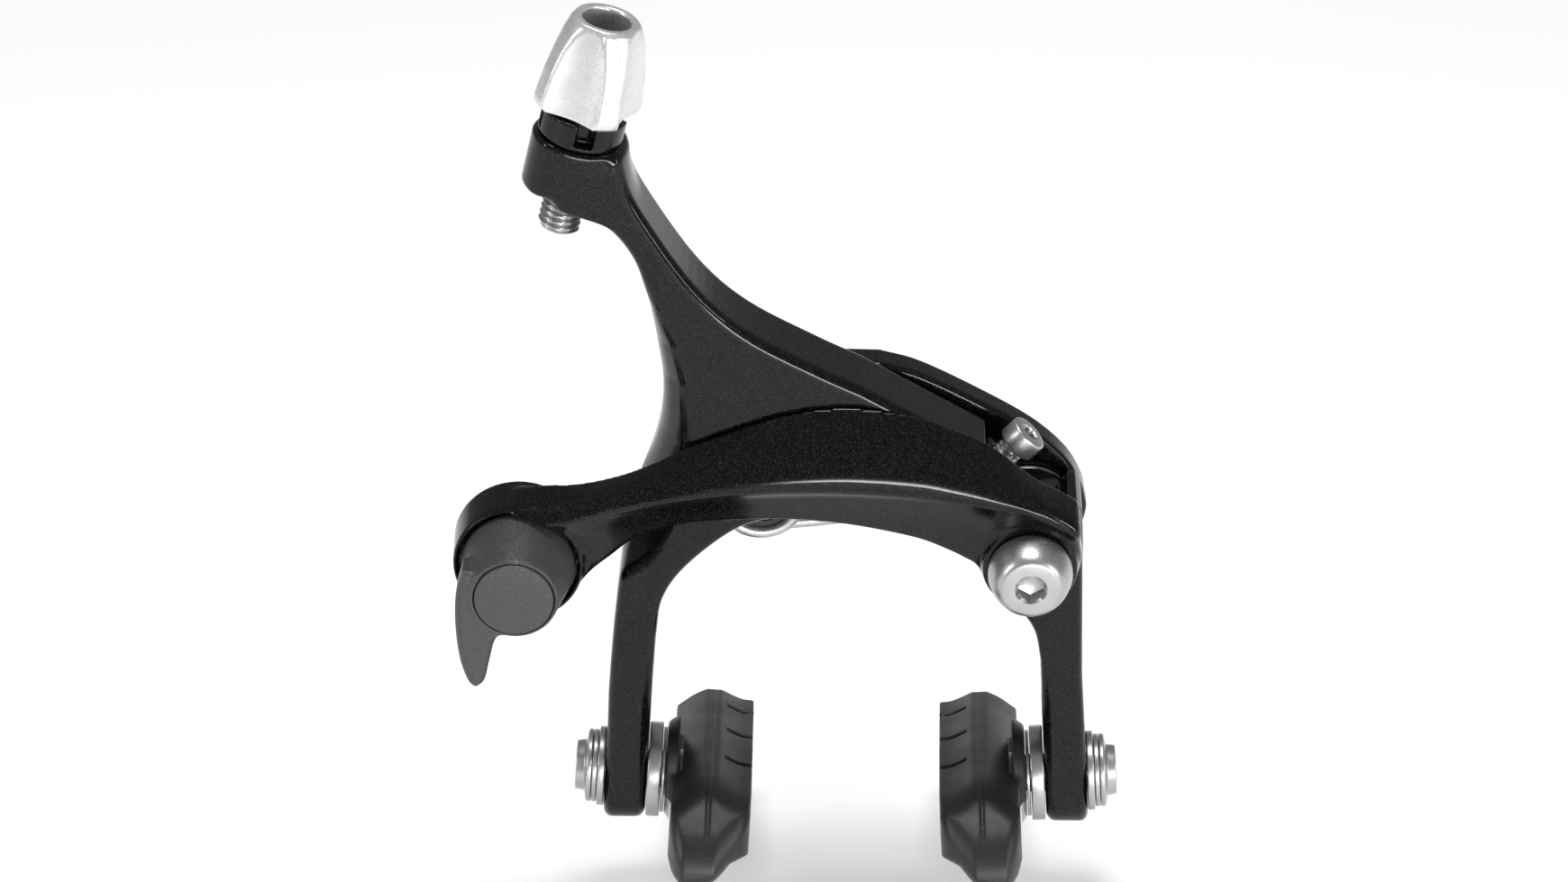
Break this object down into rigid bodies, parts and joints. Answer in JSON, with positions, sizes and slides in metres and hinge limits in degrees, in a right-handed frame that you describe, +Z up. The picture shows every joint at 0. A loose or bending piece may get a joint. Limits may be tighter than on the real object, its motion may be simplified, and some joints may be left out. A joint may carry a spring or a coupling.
{
  "type": "rim brake caliper",
  "caption": "Dual-pivot road bicycle rim brake caliper with quick release, barrel adjuster and moulded brake shoes.",
  "frame": {"origin": "on the fixing bolt's axis, in the face that the serrated washer presses on the fork crown", "axes": "+Z up, +Y rearward along the fixing bolt into the fork, +X to the right as seen from the front"},
  "size_m": [0.1003, 0.0552, 0.1435],
  "materials": {
    "paint": "gloss black paint with fine metal flake on forged aluminium",
    "satin_paint": "satin dark grey paint with fine flake",
    "zinc": "bright zinc plated steel with turned faces",
    "polished_alloy": "bright polished and clear anodised aluminium",
    "spring_steel": "drawn spring wire and pressed washers",
    "bronze": "sintered bronze",
    "rubber": "matte moulded brake rubber",
    "plastic": "moulded acetal"
  },
  "bodies": {
    "base": {"fixing_bolt": "zinc", "serrated_washer": "zinc", "arm_bracket": "paint", "spring_bush": "plastic", "centre_thrust_washer": "spring_steel", "side_thrust_washer": "spring_steel", "bolt_head_washer": "zinc", "side_pivot_bolt": "zinc", "return_spring": "spring_steel"},
    "y_arm": {"y_arm": "paint", "centre_bush": "bronze", "adjuster_collar": "paint", "left_spring_slider": "plastic"},
    "c_arm": {"c_arm": "paint", "side_bush": "bronze", "right_spring_slider": "plastic"},
    "quick_release": {"release_lever": "satin_paint", "release_cap": "satin_paint", "release_shaft": "zinc"},
    "cable_anchor": {"anchor_block": "zinc", "cable_clamp_plate": "zinc", "cable_clamp_bolt": "zinc"},
    "centring_screw": {"centring_screw": "zinc"},
    "adjuster_liner": {"housing_liner": "plastic"},
    "adjuster": {"adjuster_barrel": "zinc", "adjuster_knob": "polished_alloy"},
    "left_shoe_bolt": {"left_shoe_bolt": "zinc", "left_inner_convex_washer": "zinc", "left_inner_concave_washer": "zinc", "left_outer_concave_washer": "zinc", "left_outer_flat_washer": "zinc"},
    "left_shoe": {"left_shoe_pad": "rubber", "left_shoe_stud": "zinc"},
    "right_shoe_bolt": {"right_shoe_bolt": "zinc", "right_inner_convex_washer": "zinc", "right_inner_concave_washer": "zinc", "right_outer_concave_washer": "zinc", "right_outer_flat_washer": "zinc"},
    "right_shoe": {"right_shoe_pad": "rubber", "right_shoe_stud": "zinc"}
  },
  "joints": [
    {"name": "c_arm_pivot", "type": "hinge", "parent": "base", "child": "c_arm", "pos_m": [0.027, -0.01515, -0.0135], "axis": [0, 1, 0], "range_deg": [0, 8], "stiffness_Nm_per_rad": 1, "springref_deg": -22.92, "deforming": ["return_spring"]},
    {"name": "y_arm_pivot", "type": "hinge", "parent": "base", "child": "y_arm", "pos_m": [0, -0.01515, 0], "axis": [0, -1, 0], "range_deg": [0, 6.1], "deforming": ["return_spring"]},
    {"name": "release_lever_turn", "type": "hinge", "parent": "c_arm", "child": "quick_release", "pos_m": [-0.0487, -0.03, -0.014], "axis": [0, 1, 0], "range_deg": [0, 90]},
    {"name": "cable_anchor_shift", "type": "slide", "parent": "c_arm", "child": "cable_anchor", "axis": [0, 0, 1], "range_m": [0, 0.0023]},
    {"name": "centring_screw_turn", "type": "hinge", "parent": "c_arm", "child": "centring_screw", "pos_m": [0.0205, -0.01515, -0.0032], "axis": [0.6947, 0, 0.7193], "range_deg": [-180, 180]},
    {"name": "adjuster_lift", "type": "slide", "parent": "y_arm", "child": "adjuster_liner", "axis": [0.2284, 0, 0.9736], "range_m": [0, 0.005]},
    {"name": "adjuster_turn", "type": "hinge", "parent": "adjuster_liner", "child": "adjuster", "pos_m": [-0.03763, -0.01515, 0.05667], "axis": [0.2284, 0, 0.9736], "range_deg": [0, 1800]},
    {"name": "left_shoe_height", "type": "slide", "parent": "y_arm", "child": "left_shoe_bolt", "axis": [0.061, 0, 0.9981], "range_m": [0, 0.01]},
    {"name": "left_shoe_pitch", "type": "hinge", "parent": "left_shoe_bolt", "child": "left_shoe", "pos_m": [-0.03375, -0.01515, -0.0567], "axis": [0.9981, 0, -0.061], "range_deg": [-10, 10]},
    {"name": "right_shoe_height", "type": "slide", "parent": "c_arm", "child": "right_shoe_bolt", "axis": [-0.061, 0, 0.9981], "range_m": [0, 0.01]},
    {"name": "right_shoe_pitch", "type": "hinge", "parent": "right_shoe_bolt", "child": "right_shoe", "pos_m": [0.03375, -0.01515, -0.0567], "axis": [0.9981, 0, 0.061], "range_deg": [-10, 10]}
  ],
  "couplings": [
    {"joint": "y_arm_pivot", "follows": "c_arm_pivot", "ratio": 0.75},
    {"joint": "cable_anchor_shift", "follows": "release_lever_turn", "m_per_rad": 0.00144},
    {"joint": "adjuster_lift", "follows": "adjuster_turn", "m_per_rad": 0.000159}
  ]
}
